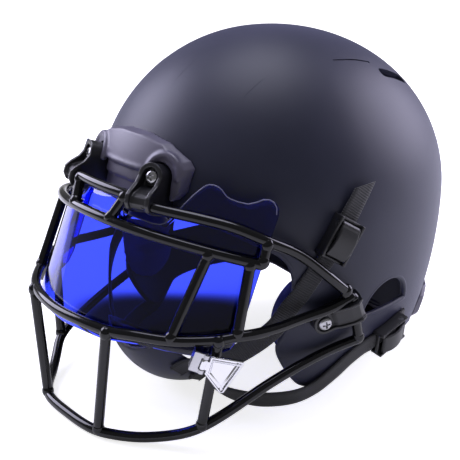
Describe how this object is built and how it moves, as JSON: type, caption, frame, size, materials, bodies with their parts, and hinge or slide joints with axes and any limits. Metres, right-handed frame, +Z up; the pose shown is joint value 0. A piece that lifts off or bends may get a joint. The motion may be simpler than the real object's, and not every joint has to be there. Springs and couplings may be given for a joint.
{
  "type": "american football helmet",
  "caption": "Football helmet: hard shell with liner pads, wire face cage with a tinted visor, and a chin strap with cam buckles.",
  "frame": {"origin": "middle of the bounding box at the resting plane", "axes": "+Z up, face towards -Y, wearer's left towards +X"},
  "size_m": [0.2608, 0.3408, 0.2566],
  "materials": {
    "shell": "satin charcoal paint",
    "rubber": "matt moulded rubber",
    "liner": "soft blue liner skin",
    "cage": "gloss black coating",
    "clip": "satin black",
    "bright_steel": "bright steel",
    "dark_steel": "dark steel",
    "chrome": "polished",
    "visor": "clear blue sheet",
    "cup": "satin",
    "cup_pad": "soft skin",
    "webbing": "woven",
    "buckle": "satin black"
  },
  "bodies": {
    "helmet": {"shell": "shell", "front_bumper": "rubber", "rear_bumper": "rubber", "rear_bumper_screws": "dark_steel", "crown_pad": "liner", "front_pad": "liner", "rear_pad": "liner", "nape_pad": "liner", "side_pad_left": "liner", "side_pad_right": "liner", "jaw_pad_left": "liner", "jaw_pad_right": "liner", "brow_bar": "cage", "eye_bar": "cage", "mouth_bar": "cage", "chin_bar": "cage", "loop_post_left": "cage", "loop_post_right": "cage", "eye_post_left": "cage", "eye_post_right": "cage", "temple_post_left": "cage", "temple_post_right": "cage", "end_post_left": "cage", "end_post_right": "cage", "chin_post_left": "cage", "chin_post_right": "cage", "jaw_post_left": "cage", "jaw_post_right": "cage", "side_post_left": "cage", "side_post_right": "cage", "front_clip_left": "clip", "front_clip_right": "clip", "side_clip_left": "clip", "side_clip_right": "clip", "clip_screws": "bright_steel", "clip_nuts": "bright_steel", "visor": "visor", "visor_clip_base_left": "bright_steel", "visor_clip_base_right": "bright_steel", "visor_clip_pins": "bright_steel", "chin_cup": "cup", "chin_cup_pad": "cup_pad", "upper_strap_left": "webbing", "upper_strap_right": "webbing", "lower_strap_left": "webbing", "lower_strap_right": "webbing", "upper_buckle_left": "buckle", "upper_buckle_right": "buckle", "lower_buckle_left": "buckle", "lower_buckle_right": "buckle", "buckle_pins": "dark_steel"},
    "upper_lever_left": {"upper_lever_left": "buckle"},
    "upper_lever_right": {"upper_lever_right": "buckle"},
    "lower_lever_left": {"lower_lever_left": "buckle"},
    "lower_lever_right": {"lower_lever_right": "buckle"},
    "visor_clip_lever_left": {"visor_clip_lever_left": "chrome"},
    "visor_clip_lever_right": {"visor_clip_lever_right": "chrome"}
  },
  "joints": [
    {"name": "upper_lever_left_hinge", "type": "hinge", "parent": "helmet", "child": "upper_lever_left", "pos_m": [0.12224, -0.01621, 0.14176], "axis": [-0.2304, -0.8191, 0.5254], "range_deg": [0, 80]},
    {"name": "upper_lever_right_hinge", "type": "hinge", "parent": "helmet", "child": "upper_lever_right", "pos_m": [-0.12224, -0.01621, 0.14176], "axis": [-0.2304, 0.8191, -0.5254], "range_deg": [0, 80]},
    {"name": "lower_lever_left_hinge", "type": "hinge", "parent": "helmet", "child": "lower_lever_left", "pos_m": [0.11304, 0.05239, 0.04429], "axis": [0.2617, -0.1975, 0.9447], "range_deg": [0, 80]},
    {"name": "lower_lever_right_hinge", "type": "hinge", "parent": "helmet", "child": "lower_lever_right", "pos_m": [-0.11304, 0.05239, 0.04429], "axis": [0.2617, 0.1975, -0.9447], "range_deg": [0, 80]},
    {"name": "visor_clip_left_hinge", "type": "hinge", "parent": "helmet", "child": "visor_clip_lever_left", "pos_m": [0.1005, -0.1213, 0.0685], "axis": [-0.2154, -0.287, -0.9334], "range_deg": [0, 75]},
    {"name": "visor_clip_right_hinge", "type": "hinge", "parent": "helmet", "child": "visor_clip_lever_right", "pos_m": [-0.1005, -0.1213, 0.0685], "axis": [-0.2154, 0.287, 0.9334], "range_deg": [0, 75]}
  ]
}
